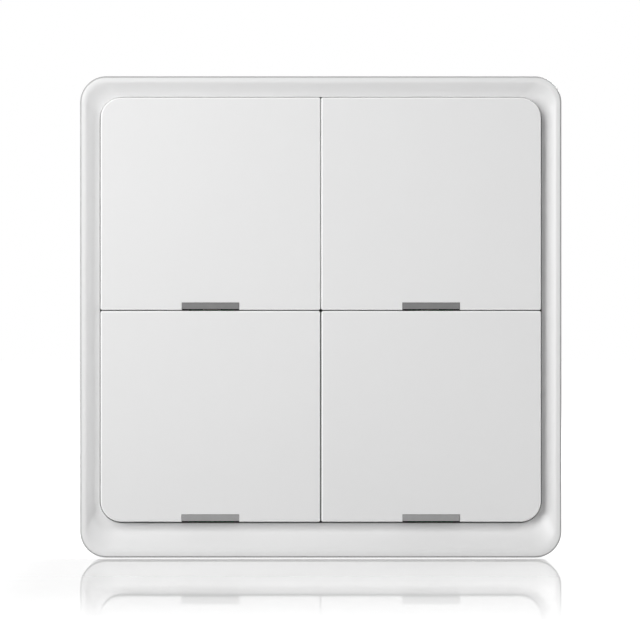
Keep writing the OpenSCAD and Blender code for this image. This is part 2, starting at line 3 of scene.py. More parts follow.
import bmesh
import bpy
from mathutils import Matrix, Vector


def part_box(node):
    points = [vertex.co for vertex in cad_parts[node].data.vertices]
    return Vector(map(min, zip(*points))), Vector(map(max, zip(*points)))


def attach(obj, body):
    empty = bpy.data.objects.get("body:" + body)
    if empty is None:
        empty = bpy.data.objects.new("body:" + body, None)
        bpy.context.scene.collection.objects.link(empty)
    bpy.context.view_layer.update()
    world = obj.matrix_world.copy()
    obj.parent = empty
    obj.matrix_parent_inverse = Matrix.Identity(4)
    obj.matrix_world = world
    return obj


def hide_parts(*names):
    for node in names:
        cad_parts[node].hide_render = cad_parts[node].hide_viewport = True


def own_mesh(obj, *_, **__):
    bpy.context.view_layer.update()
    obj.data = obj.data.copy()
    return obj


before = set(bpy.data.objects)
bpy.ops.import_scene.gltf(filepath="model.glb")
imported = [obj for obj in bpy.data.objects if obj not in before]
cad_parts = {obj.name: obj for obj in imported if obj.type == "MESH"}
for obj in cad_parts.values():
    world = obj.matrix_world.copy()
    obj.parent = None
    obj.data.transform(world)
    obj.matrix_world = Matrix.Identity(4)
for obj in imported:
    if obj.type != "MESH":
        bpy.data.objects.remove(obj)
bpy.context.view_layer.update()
mm = 0.001
quarterTurn = math.pi / 2
corners = ["upper_left", "upper_right", "lower_left", "lower_right"]
print("frame loaded,", len(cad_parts), "nodes")


# camera, straight at the keys
shot = {
    "lens": 200, "sensor": 36,
    "frameWidth": 114.24 * mm,  # what the picture takes in at the rim
    "rimOut": 11.2 * mm,
    "aimX": -0.143 * mm, "aimZ": -0.553 * mm,
}
bpy.ops.object.select_all(action="DESELECT")
back = shot["rimOut"] + shot["frameWidth"] * shot["lens"] / shot["sensor"]
bpy.ops.object.camera_add(location=(shot["aimX"], -back, shot["aimZ"]), rotation=(quarterTurn, 0, 0))
camera = bpy.context.object
camera.data.lens = shot["lens"]
camera.data.sensor_width = shot["sensor"]
bpy.context.scene.camera = camera
bpy.context.scene.view_settings.view_transform = "Standard"
print("camera set,", round(back, 4), "m in front of the wall")


# modelling helpers
spare = 1 * mm  # how far a cutter reaches past what it cuts
weld = 0.0005 * mm  # points this close become one
squareOn = 0.9  # a normal that goes this far along an axis faces that way
fewSteps, someSteps = 2, 3  # how finely a small edge is rounded


def deselectAll():
    if bpy.context.mode != "OBJECT":
        bpy.ops.object.mode_set(mode="OBJECT")
    bpy.ops.object.select_all(action="DESELECT")


def choose(piece):
    deselectAll()
    piece.select_set(True)
    bpy.context.view_layer.objects.active = piece


def settle(piece):  # the place goes into the mesh, the object to the origin
    choose(piece)
    bpy.ops.object.transform_apply(location=True, rotation=True, scale=True)


def startPlate(name, width, height, middle, out):  # a flat sheet that faces the front
    deselectAll()
    spot = (middle[0], -out, middle[1])
    bpy.ops.mesh.primitive_plane_add(size=1, location=spot, rotation=(quarterTurn, 0, 0))
    piece = bpy.context.object
    piece.name = name
    piece.scale = (width, height, 1)
    settle(piece)
    return piece


def startBlock(name, low, high):
    deselectAll()
    bpy.ops.mesh.primitive_cube_add(size=1, location=[(a + b) / 2 for a, b in zip(low, high)])
    piece = bpy.context.object
    piece.name = name
    piece.scale = [b - a for a, b in zip(low, high)]
    settle(piece)
    return piece


def startRod(name, radius, middle, length, axis, sides=32):
    deselectAll()
    turn = {"x": (0, quarterTurn, 0), "y": (quarterTurn, 0, 0)}[axis]
    bpy.ops.mesh.primitive_cylinder_add(
        vertices=sides, radius=radius, depth=length, location=middle, rotation=turn)
    piece = bpy.context.object
    piece.name = name
    settle(piece)
    return piece


def pick(piece, kind, test):  # in edit mode, with only what passes the test selected
    if bpy.context.mode != "EDIT_MESH":
        choose(piece)
        bpy.ops.object.mode_set(mode="EDIT")
    bpy.ops.mesh.select_mode(type=kind)
    bpy.ops.mesh.select_all(action="DESELECT")
    mesh = bmesh.from_edit_mesh(piece.data)
    mesh.normal_update()
    mesh.verts.index_update()
    for part in {"VERT": mesh.verts, "EDGE": mesh.edges, "FACE": mesh.faces}[kind]:
        if test(part):
            part.select_set(True)
    mesh.select_flush_mode()
    bmesh.update_edit_mesh(piece.data)


def anything(part):  # a test that every part passes
    return True


def near(value, target, slack=0.01 * mm):
    return abs(value - target) < slack


def atOut(out):  # a test for edges and faces that lie at one distance from the wall
    return lambda part: all(near(v.co.y, -out) for v in part.verts)


def atCorner(*spots):  # a test for points at one of these places, across and up
    return lambda v: any(near(v.co.x, x) and near(v.co.z, z) for x, z in spots)


def pull(out=0, z=0):
    bpy.ops.mesh.extrude_region_move(TRANSFORM_OT_translate={"value": (0, -out, z)})


def thicken(piece, out):  # a flat sheet becomes a slab
    pick(piece, "FACE", anything)
    pull(out=out)


def roundCorners(piece, test, radius, steps):
    pick(piece, "VERT", test)
    bpy.ops.mesh.bevel(offset_type="OFFSET", offset=radius, segments=steps, affect="VERTICES")


def roundEdges(radius, steps=1):  # one step is a chamfer
    bpy.ops.mesh.bevel(offset_type="OFFSET", offset=radius, segments=steps, affect="EDGES")


def applyModifier(piece, kind, **settings):
    choose(piece)
    modifier = piece.modifiers.new(kind.lower(), kind)
    for setting, value in settings.items():
        setattr(modifier, setting, value)
    bpy.ops.object.modifier_apply(modifier=modifier.name)


def combine(piece, other, operation):  # UNION or DIFFERENCE, and the other piece is used up
    applyModifier(piece, "BOOLEAN", operation=operation, object=other, solver="EXACT")
    bpy.data.objects.remove(other)


def cleanNormals(piece):
    pick(piece, "VERT", anything)
    bpy.ops.mesh.remove_doubles(threshold=weld)
    bpy.ops.mesh.select_all(action="SELECT")
    bpy.ops.mesh.normals_make_consistent(inside=False)
    deselectAll()


def smooth(piece, angle=32):
    cleanNormals(piece)
    choose(piece)
    bpy.ops.object.shade_smooth_by_angle(angle=math.radians(angle))
    applyModifier(piece, "WEIGHTED_NORMAL", mode="FACE_AREA", keep_sharp=True)


def copyPiece(piece, name, shift):  # a copy with its own mesh
    choose(piece)
    bpy.ops.object.duplicate(linked=False)
    twin = bpy.context.object
    twin.name = name
    bpy.ops.transform.translate(value=shift)
    settle(twin)
    return twin


def cornerName(start, corner):  # key and upper_left make keyUpperLeft
    return start + corner.title().replace("_", "")


def place(piece, body, slot, *nodes):
    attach(piece, body)
    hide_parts(*nodes)


# the dished frame around the keys
bezel = {
    "cornerRadius": 4.7 * mm, "wall": 1.7 * mm,
    "rimWidth": 0.85 * mm, "rimRound": (0.35 * mm, 0.7 * mm),  # across and down the outer edge
    "dishDepth": 1.45 * mm, "footGap": 0.35 * mm,
    "dishSoft": 0.2,  # the share of the dish that curves down from the rim
    "dishCrowd": 1.5,  # above 1, the dish's rows lie closer at the rim
    "lipRound": 0.06 * mm, "lipRows": ((1, 0.1), (0.3, 0.4), (0, 1)),  # shares of it, across and down
    "edgeGap": 0.25 * mm, "keyCorner": 3.7 * mm, "openingDrop": 0.06 * mm,
    "cavityOut": 8.52 * mm, "cavityRise": 0.04 * mm, "footRound": 0.2 * mm,
    "arcSteps": 16, "roundSteps": 6, "dishSteps": 18,
    "notchWidth": 8 * mm, "notchHeight": 1.2 * mm, "notchReach": 3 * mm,
    "pocket": (1.2 * mm, 4.2 * mm), "pocketX": 41.1 * mm, "pocketZ": 20 * mm,
    "pocketOut": (3.8 * mm, 5.5 * mm),
}


def keyBlock():  # the box that the four keys fill: left, bottom, right, top
    lows, highs = zip(*(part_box("key_" + corner) for corner in corners))
    return (min(low.x for low in lows), min(low.z for low in lows),
            max(high.x for high in highs), max(high.z for high in highs))


def dishDrop(u):  # share of the depth, soft at the rim, then straight
    soft = bezel["dishSoft"]
    fall = u * u / (2 * soft) if u < soft else u - soft / 2
    return fall / (1 - soft / 2)


def bezelOutlines():  # width, height, corner radius, middle height, distance from the wall
    low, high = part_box("front_bezel")
    wide, tall = high.x - low.x, high.z - low.z
    wallEnd, rim = -high.y, -low.y
    left, bottom, right, top = keyBlock()
    blockWide, blockTall = right - left, top - bottom
    blockZ = (bottom + top) / 2 - bezel["openingDrop"]
    corner, keyCorner = bezel["cornerRadius"], bezel["keyCorner"]

    def inset(by, out):  # the outer outline, made smaller
        return wide - 2 * by, tall - 2 * by, corner - by, 0, out

    def around(by, out):  # the keys' outline, made larger
        return blockWide + 2 * by, blockTall + 2 * by, keyCorner + by, blockZ, out

    rows = [inset(bezel["wall"], wallEnd), inset(bezel["footRound"], wallEnd),
            inset(0, wallEnd + bezel["footRound"])]
    across, down = bezel["rimRound"]
    for i in range(bezel["roundSteps"] + 1):
        angle = quarterTurn * i / bezel["roundSteps"]
        rows.append(inset(across * (1 - math.cos(angle)), rim - down * (1 - math.sin(angle))))
    foot = rim - bezel["dishDepth"]
    start, end = inset(bezel["rimWidth"], rim), around(bezel["footGap"], foot)
    for i in range(bezel["dishSteps"] + 1):  # from the rim to the keys
        u = (i / bezel["dishSteps"]) ** bezel["dishCrowd"]
        sizes = [(1 - u) * a + u * b for a, b in zip(start[:4], end[:4])]
        rows.append((*sizes, rim - bezel["dishDepth"] * dishDrop(u)))
    gap, lip = bezel["edgeGap"], bezel["lipRound"]
    rows += [around(gap + lip * over, foot - lip * under) for over, under in bezel["lipRows"]]
    rows.append(around(gap, bezel["cavityOut"]))
    rows.append(inset(bezel["wall"], bezel["cavityOut"] + bezel["cavityRise"]))
    return rows


def makeBezel():
    rows = bezelOutlines()
    count = 4 * (bezel["arcSteps"] + 1)
    piece = None
    for wide, tall, radius, z, out in rows:
        if piece is None:
            piece = startPlate("frontBezel", wide, tall, (0, z), out)
            pick(piece, "VERT", anything)
        else:
            bpy.ops.mesh.select_all(action="DESELECT")
            middle = (0, -out, z)
            bpy.ops.mesh.primitive_plane_add(size=1, location=middle, rotation=(quarterTurn, 0, 0))
            bpy.ops.transform.resize(value=(wide, 1, tall), center_override=middle)
        bpy.ops.mesh.bevel(
            offset_type="OFFSET", offset=radius, segments=bezel["arcSteps"], affect="VERTICES")
        bpy.ops.mesh.delete(type="ONLY_FACE")
    for k in range(len(rows)):  # skin each outline to the next, and the last to the first
        pair = (k, (k + 1) % len(rows))
        pick(piece, "VERT", lambda v: v.index // count in pair)
        bpy.ops.mesh.bridge_edge_loops()
    cleanNormals(piece)
    low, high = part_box("front_bezel")
    half = bezel["notchWidth"] / 2
    notch = startBlock(
        "notch", (-half, high.y - bezel["notchHeight"], low.z - spare),
        (half, high.y + spare, low.z + bezel["notchReach"]))
    combine(piece, notch, "DIFFERENCE")
    deep, reach = bezel["pocket"]
    nearest, farthest = bezel["pocketOut"]
    for x in (-bezel["pocketX"], bezel["pocketX"]):
        for z in (-bezel["pocketZ"], bezel["pocketZ"]):
            pocket = startBlock("pocket", (x - deep, -farthest, z - reach), (x + deep, -nearest, z + reach))
            combine(piece, pocket, "DIFFERENCE")
    smooth(piece)
    place(piece, "housing", "bezel_plastic", "front_bezel")
    return piece


frontBezel = makeBezel()
print("bezel made,", len(frontBezel.data.polygons), "faces")


# the keys
key = {
    "bigCorner": 3.7 * mm, "smallCorner": 0.35 * mm, "bigSteps": 14, "smallSteps": 5,
    "edgeRound": 0.3 * mm, "edgeSteps": 5,
    "faceBack": 10.5 * mm, "skirtOut": 9.2575 * mm, "skirt": 1.1 * mm,
    "hollowCorner": 1.5 * mm, "hollowSteps": 6,
    "notchWidth": 10.3 * mm, "notchHeight": 1.35 * mm,
    "hingeDrop": 3 * mm, "hingeOut": 9.5 * mm,
    "armX": 13 * mm, "arm": (1.2 * mm, 2.2 * mm), "armOut": 8.7 * mm, "armRound": 0.2 * mm,
    "pinRadius": 0.8 * mm, "pinLength": 2.9 * mm, "pinShift": 0.95 * mm, "pinRound": 0.15 * mm,
    "rib": 0.8 * mm, "ribOut": 9.8 * mm, "ribRound": 0.15 * mm,
    "hookX": 14 * mm, "hookRise": 4 * mm, "hookWidth": 2.4 * mm, "hookThick": 1 * mm,
    "hookTip": 6.85 * mm, "barbOut": 7.45 * mm, "barbReach": 0.6 * mm,
    "postDrop": 23 * mm, "postRadius": 1.5 * mm, "postTip": 8.13 * mm, "postChamfer": 0.7 * mm,
    "postSides": 40,
    "sink": 0.4 * mm,  # how far the parts behind go into the face
    "seamDrop": 0.15 * mm,  # how far the level seam lies below the solids'
    "seamClose": {"upper": 0.02 * mm, "lower": -0.025 * mm},  # how far a key goes into the upright one
}


def makeKeyBack(x, top, bottom):  # hinge arms, pins, ribs, hooks and post, as one body
    root = -(key["faceBack"] + key["sink"])
    hingeZ, hookZ = top - key["hingeDrop"], bottom + key["hookRise"]
    armWide, armTall = (size / 2 for size in key["arm"])
    ribHalf, hookHalf, thick = key["rib"] / 2, key["hookWidth"] / 2, key["hookThick"] / 2
    barbTop = hookZ + thick + key["barbReach"]
    post = startRod(
        "keyBack", key["postRadius"], (x, (root - key["postTip"]) / 2, top - key["postDrop"]),
        -key["postTip"] - root, "y", key["postSides"])
    pick(post, "EDGE", atOut(key["postTip"]))
    roundEdges(key["postChamfer"], someSteps)
    for side in (-1, 1):
        armX = x + side * key["armX"]
        arm = startBlock(
            "arm", (armX - armWide, root, hingeZ - armTall),
            (armX + armWide, -key["armOut"], hingeZ + armTall))
        pick(arm, "EDGE", atOut(key["armOut"]))
        roundEdges(key["armRound"], fewSteps)
        pinX = armX + side * key["pinShift"]
        pin = startRod("pin", key["pinRadius"], (pinX, -key["hingeOut"], hingeZ), key["pinLength"], "x")
        end = pinX + side * key["pinLength"] / 2
        pick(pin, "EDGE", lambda e: all(near(v.co.x, end) for v in e.verts))
        roundEdges(key["pinRound"], someSteps)
        combine(arm, pin, "UNION")
        rib = startBlock("rib", (armX - ribHalf, root, hookZ), (armX + ribHalf, -key["ribOut"], hingeZ))
        pick(rib, "EDGE", atOut(key["ribOut"]))
        roundEdges(key["ribRound"], fewSteps)
        combine(arm, rib, "UNION")
        combine(post, arm, "UNION")
        hookX = x + side * key["hookX"]
        hook = startBlock(
            "hook", (hookX - hookHalf, root, hookZ - thick),
            (hookX + hookHalf, -key["hookTip"], hookZ + thick))
        pick(hook, "VERT", anything)  # the barb grows out of the leg's upper side
        bpy.ops.mesh.bisect(plane_co=(0, -key["barbOut"], 0), plane_no=(0, 1, 0))
        pick(hook, "FACE", lambda f: f.normal.z > squareOn and f.calc_center_median().y > -key["barbOut"])
        pull(z=key["barbReach"])
        pick(hook, "EDGE", lambda e: all(
            near(v.co.y, -key["hookTip"]) and near(v.co.z, barbTop) for v in e.verts))
        roundEdges(key["barbReach"] / 2)
        combine(post, hook, "UNION")
    return post


def makeKeyCap(name, low, high, big):  # big is the outer corner
    wide, tall = high.x - low.x, high.z - low.z
    middle = ((low.x + high.x) / 2, (low.z + high.z) / 2)
    front = -low.y
    small = [(x, z) for x in (low.x, high.x) for z in (low.z, high.z) if (x, z) != big]
    piece = startPlate(name, wide, tall, middle, front)
    roundCorners(piece, atCorner(big), key["bigCorner"], key["bigSteps"])
    roundCorners(piece, atCorner(*small), key["smallCorner"], key["smallSteps"])
    thicken(piece, key["skirtOut"] - front)
    pick(piece, "EDGE", atOut(front))
    roundEdges(key["edgeRound"], key["edgeSteps"])
    cleanNormals(piece)
    hollow = startPlate("hollow", wide - 2 * key["skirt"], tall - 2 * key["skirt"], middle, key["faceBack"])
    roundCorners(hollow, anything, key["hollowCorner"], key["hollowSteps"])
    thicken(hollow, key["skirtOut"] - spare - key["faceBack"])
    cleanNormals(hollow)
    combine(piece, hollow, "DIFFERENCE")
    half = key["notchWidth"] / 2
    notch = startBlock(
        "notch", (middle[0] - half, low.y - spare, low.z - spare),
        (middle[0] + half, -key["skirtOut"] + spare, low.z + key["notchHeight"]))
    combine(piece, notch, "DIFFERENCE")
    return piece


def keyFace(corner):  # the key's box, with its inner edges where the seams are
    low, high = (end.copy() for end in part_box("key_" + corner))
    row, side = corner.split("_")
    if row == "upper":
        low.z -= key["seamDrop"]
    else:
        high.z -= key["seamDrop"]
    if side == "left":
        high.x += key["seamClose"][row]
    else:
        low.x -= key["seamClose"][row]
    return low, high


keys = {}
for corner in corners:
    low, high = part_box("key_" + corner)
    big = (low.x if "left" in corner else high.x, high.z if "upper" in corner else low.z)
    cap = makeKeyCap(cornerName("key", corner), *keyFace(corner), big)
    if not keys:
        firstBack = makeKeyBack((low.x + high.x) / 2, high.z, low.z)
        firstLow = low
    combine(cap, copyPiece(firstBack, "backCopy", low - firstLow), "UNION")
    smooth(cap)
    place(cap, corner + "_key", "key_plastic", "key_" + corner)
    keys[corner] = cap
bpy.data.objects.remove(firstBack)
print("keys made,", [len(k.data.polygons) for k in keys.values()], "faces")


# the smoky light windows in the keys' lower edges
window = {
    "width": 10.2 * mm, "height": 1.15 * mm, "headBack": 9.2575 * mm,
    "footOut": (9.7 * mm, 10.5 * mm), "footLength": 1.7 * mm,
    "guideWidth": 7 * mm, "guideThick": 1.1 * mm,
    "edge": 0.05 * mm, "edgeAngle": 0.6,  # edges that turn more than this are rounded
}


def makeWindow(name, low, high):
    middle = (low.x + high.x) / 2
    bottom, guideTop = low.z, low.z + window["guideThick"]
    half, guideHalf = window["width"] / 2, window["guideWidth"] / 2
    nearest, farthest = window["footOut"]

    def onFoot(face):
        return face.normal.z > squareOn and -farthest < face.calc_center_median().y < -nearest

    def onBack(face):
        return face.normal.y > squareOn and near(face.calc_center_median().y, -window["headBack"])

    def onGuide(face):
        spot = face.calc_center_median()
        return onBack(face) and near(spot.x, middle) and spot.z < guideTop

    piece = startBlock(
        name, (middle - half, low.y, bottom),
        (middle + half, -window["headBack"], bottom + window["height"]))
    for out in window["footOut"]:
        pick(piece, "VERT", anything)
        bpy.ops.mesh.bisect(plane_co=(0, -out, 0), plane_no=(0, 1, 0))
    pick(piece, "FACE", onFoot)
    pull(z=window["footLength"])
    for x in (middle - guideHalf, middle + guideHalf):
        pick(piece, "FACE", onBack)
        bpy.ops.mesh.bisect(plane_co=(x, 0, 0), plane_no=(1, 0, 0))
    pick(piece, "FACE", onBack)
    bpy.ops.mesh.bisect(plane_co=(0, 0, guideTop), plane_no=(0, 0, 1))
    pick(piece, "FACE", onGuide)
    pull(out=-high.y - window["headBack"])
    applyModifier(
        piece, "BEVEL", width=window["edge"], segments=fewSteps,
        limit_method="ANGLE", angle_limit=window["edgeAngle"])
    return piece


windows = {}
for corner in corners:
    low, high = (end.copy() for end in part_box("light_window_" + corner))
    if "upper" in corner:  # the window stays in its key's lower edge
        low.z -= key["seamDrop"]
        high.z -= key["seamDrop"]
    name = cornerName("lightWindow", corner)
    if not windows:
        firstLow = low
        windows[corner] = makeWindow(name, low, high)
        smooth(windows[corner])
    else:
        windows[corner] = copyPiece(windows["upper_left"], name, low - firstLow)
for corner, piece in windows.items():
    place(piece, corner + "_key", "smoked_window", "light_window_" + corner)
print("windows made,", len(windows["upper_left"].data.polygons), "faces each")


# the tray that goes on the wall
tray = {
    "cornerRadius": 2.8 * mm, "cornerSteps": 12, "floor": 1.4 * mm, "wall": 1.3 * mm,
    "insideCorner": 1.5 * mm, "insideSteps": 8, "edgeRound": 0.25 * mm, "rimRound": 0.2 * mm,
    "bossPlace": 35 * mm, "bossRadius": 2.5 * mm, "bossRoot": 1 * mm, "bossOut": 2.6 * mm,
    "bossRound": 0.2 * mm, "bossSides": 40,
    "holeRadius": 1.02 * mm, "holeFloor": 0.6 * mm, "holeSides": 28,
    "slotPlace": 30 * mm, "slot": (7 * mm, 4 * mm), "slotRound": 1.98 * mm, "slotSteps": 10,
    "pocketPlace": 26 * mm, "pocket": (60.4 * mm, 12.4 * mm, 0.6 * mm),
    "clipPlace": 20 * mm, "slitPlace": 4.4 * mm, "slitWidth": 0.8 * mm, "slitReach": 2 * mm,
    "barbOut": 4 * mm, "barb": (1.2 * mm, 1.3 * mm, 8 * mm), "barbSink": 0.4 * mm, "barbFlat": 0.325 * mm,
    "markRadius": 2 * mm, "markDepth": 0.12 * mm, "markPlace": (16 * mm, 12 * mm), "markSides": 36,
    "gateRadius": 1.1 * mm, "gateSides": 28,
}


def makeBarb(side, z):  # a clip's wedge on the tray's outer wall
    reach, tall, long = tray["barb"]
    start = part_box("rear_base")[1].x - reach
    spot = tray["barbOut"]
    barb = startBlock(
        "barb", (start, -(spot + tall), z - long / 2), (start + reach, -spot, z + long / 2))
    pick(barb, "VERT", lambda v: near(v.co.x, start + reach) and near(v.co.y, -(spot + tall)))
    bpy.ops.transform.translate(value=(0, tall - tray["barbFlat"], 0))
    if side < 0:
        pick(barb, "VERT", anything)
        bpy.ops.transform.resize(value=(-1, 1, 1), center_override=(0, 0, 0))
    cleanNormals(barb)
    return barb


def makeTray():
    low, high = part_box("rear_base")
    half = high.x - tray["barb"][0] + tray["barbSink"]  # the barbs reach past the walls
    rim = -low.y
    piece = startPlate("rearBase", 2 * half, 2 * half, (0, 0), 0)
    roundCorners(piece, anything, tray["cornerRadius"], tray["cornerSteps"])
    thicken(piece, rim)
    pick(piece, "EDGE", atOut(0))
    roundEdges(tray["edgeRound"], someSteps)
    cleanNormals(piece)
    inside = 2 * (half - tray["wall"])
    hollow = startPlate("hollow", inside, inside, (0, 0), tray["floor"])
    roundCorners(hollow, anything, tray["insideCorner"], tray["insideSteps"])
    thicken(hollow, rim)
    cleanNormals(hollow)
    combine(piece, hollow, "DIFFERENCE")
    pick(piece, "EDGE", atOut(rim))
    roundEdges(tray["rimRound"], someSteps)
    bossMiddle, bossLength = (tray["bossOut"] + tray["bossRoot"]) / 2, tray["bossOut"] - tray["bossRoot"]
    holeDepth = tray["bossOut"] + spare - tray["holeFloor"]
    for x in (-1, 1):
        for z in (-1, 1):
            bossX, bossZ = x * tray["bossPlace"], z * tray["bossPlace"]
            boss = startRod(
                "boss", tray["bossRadius"], (bossX, -bossMiddle, bossZ), bossLength, "y", tray["bossSides"])
            pick(boss, "EDGE", atOut(tray["bossOut"]))
            roundEdges(tray["bossRound"], fewSteps)
            combine(piece, boss, "UNION")
            hole = startRod(
                "hole", tray["holeRadius"], (bossX, -tray["holeFloor"] - holeDepth / 2, bossZ),
                holeDepth, "y", tray["holeSides"])
            combine(piece, hole, "DIFFERENCE")
            for end in (-1, 1):
                middle = z * tray["clipPlace"] + end * tray["slitPlace"]
                slit = startBlock(
                    "slit", (x * half - tray["slitReach"], -rim - spare, middle - tray["slitWidth"] / 2),
                    (x * half + tray["slitReach"], -tray["floor"], middle + tray["slitWidth"] / 2))
                combine(piece, slit, "DIFFERENCE")
            combine(piece, makeBarb(x, z * tray["clipPlace"]), "UNION")
            markX, markZ = x * tray["markPlace"][0], z * tray["markPlace"][1]
            mark = startRod(
                "mark", tray["markRadius"], (markX, 0, markZ), 2 * tray["markDepth"], "y", tray["markSides"])
            combine(piece, mark, "DIFFERENCE")
        slot = startPlate("slot", *tray["slot"], (x * tray["slotPlace"], 0), -spare)
        roundCorners(slot, anything, tray["slotRound"], tray["slotSteps"])
        thicken(slot, tray["floor"] + 2 * spare)
        cleanNormals(slot)
        combine(piece, slot, "DIFFERENCE")
    wide, tall, deep = tray["pocket"]
    for z in (-tray["pocketPlace"], tray["pocketPlace"]):
        pocket = startBlock("pocket", (-wide / 2, -deep, z - tall / 2), (wide / 2, spare, z + tall / 2))
        combine(piece, pocket, "DIFFERENCE")
    gate = startRod("gate", tray["gateRadius"], (0, 0, 0), 2 * tray["markDepth"], "y", tray["gateSides"])
    combine(piece, gate, "DIFFERENCE")
    smooth(piece)
    place(piece, "housing", "base_plastic", "rear_base")
    return piece


rearBase = makeTray()
print("tray made,", len(rearBase.data.polygons), "faces")


# two strips of foam tape in the tray's back
tape = {
    "length": 60 * mm, "height": 12 * mm, "thick": 0.6 * mm, "cornerRadius": 0.6 * mm, "cornerSteps": 5,
    "film": 0.07 * mm, "shrink": 0.09 * mm,
}


def makeStrip(name, z):  # film, foam that is cut a little smaller, film
    piece = startPlate(name, tape["length"], tape["height"], (0, z), 0)
    roundCorners(piece, anything, tape["cornerRadius"], tape["cornerSteps"])
    thicken(piece, tape["film"])
    less = [1 - 2 * tape["shrink"] / side for side in (tape["length"], tape["height"])]
    middle = (0, 0, z)
    pull()
    bpy.ops.transform.resize(value=(less[0], 1, less[1]), center_override=middle)
    pull(out=tape["thick"] - 2 * tape["film"])
    pull()
    bpy.ops.transform.resize(value=(1 / less[0], 1, 1 / less[1]), center_override=middle)
    pull(out=tape["film"])
    smooth(piece)
    return piece


foamTape = makeStrip("foamTape", tray["pocketPlace"])
lowerStrip = copyPiece(foamTape, "lowerStrip", (0, 0, -2 * tray["pocketPlace"]))
choose(foamTape)
lowerStrip.select_set(True)
bpy.ops.object.join()
place(foamTape, "housing", "foam_tape", "adhesive_pads")
print("tape made,", len(foamTape.data.polygons), "faces")


# the switches' snap domes
dome = {
    "crown": 0.8 * mm, "thick": 0.12 * mm, "sides": 48, "steps": 6, "smoothAngle": 50,
    "pressed": 0.13,  # the share of its height that is left when the key is pressed
}


def makeDome(name, low, high):
    middle = ((low.x + high.x) / 2, 0, (low.z + high.z) / 2)
    radius, floor = (high.x - low.x) / 2, -high.y
    seat = floor + dome["thick"]
    rise = -low.y - seat
    hub = (middle[0], -(floor + seat) / 2, middle[2])
    piece = startRod(name, radius, hub, dome["thick"], "y", dome["sides"])
    for out in (seat, floor):  # the front swells out, and the back follows it
        pick(piece, "FACE", atOut(out))
        was = (radius, 0)
        for step in range(1, dome["steps"] + 1):
            share = step / dome["steps"]
            now = (radius + (dome["crown"] - radius) * share, rise * math.sin(quarterTurn * share))
            pull(out=now[1] - was[1])
            shrink = now[0] / was[0]
            bpy.ops.transform.resize(value=(shrink, 1, shrink), center_override=middle)
            was = now
    smooth(piece, dome["smoothAngle"])
    return piece


domes = {}
for corner in corners:
    low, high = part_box("switch_dome_" + corner)
    domes[corner] = makeDome(cornerName("snapDome", corner), low, high)
    place(domes[corner], "housing", "dome_steel", "switch_dome_" + corner)
    seat = ((low.x + high.x) / 2, high.y, (low.z + high.z) / 2)
    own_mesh(domes[corner], corner + "_click", axis=(0, 1, 0), anchor=seat, keep=dome["pressed"])
print("domes made,", len(domes["upper_left"].data.polygons), "faces each")


# shader helpers
def plug(entry, value):  # a link or a plain value
    if isinstance(value, Wire):
        entry.id_data.links.new(value.socket, entry)
    else:
        entry.default_value = value


class Wire:
    def __init__(self, socket):
        self.socket = socket

    def reckon(self, operation, first, second):
        node = self.socket.id_data.nodes.new("ShaderNodeMath")
        node.operation = operation
        plug(node.inputs[0], first)
        plug(node.inputs[1], second)
        return Wire(node.outputs[0])

    def __add__(self, other):
        return self.reckon("ADD", self, other)

    def __radd__(self, other):
        return self.reckon("ADD", other, self)

    def __sub__(self, other):
        return self.reckon("SUBTRACT", self, other)

    def __rsub__(self, other):
        return self.reckon("SUBTRACT", other, self)

    def __mul__(self, other):
        return self.reckon("MULTIPLY", self, other)

    def __rmul__(self, other):
        return self.reckon("MULTIPLY", other, self)

    def __pow__(self, other):
        return self.reckon("POWER", self, other)

    def __rpow__(self, other):
        return self.reckon("POWER", other, self)

    def __abs__(self):
        return self.reckon("ABSOLUTE", self, 0.0)

    def atLeast(self, other):
        return self.reckon("MAXIMUM", self, other)

    def __gt__(self, other):
        return self.reckon("GREATER_THAN", self, other)

    def __lt__(self, other):
        return self.reckon("LESS_THAN", self, other)


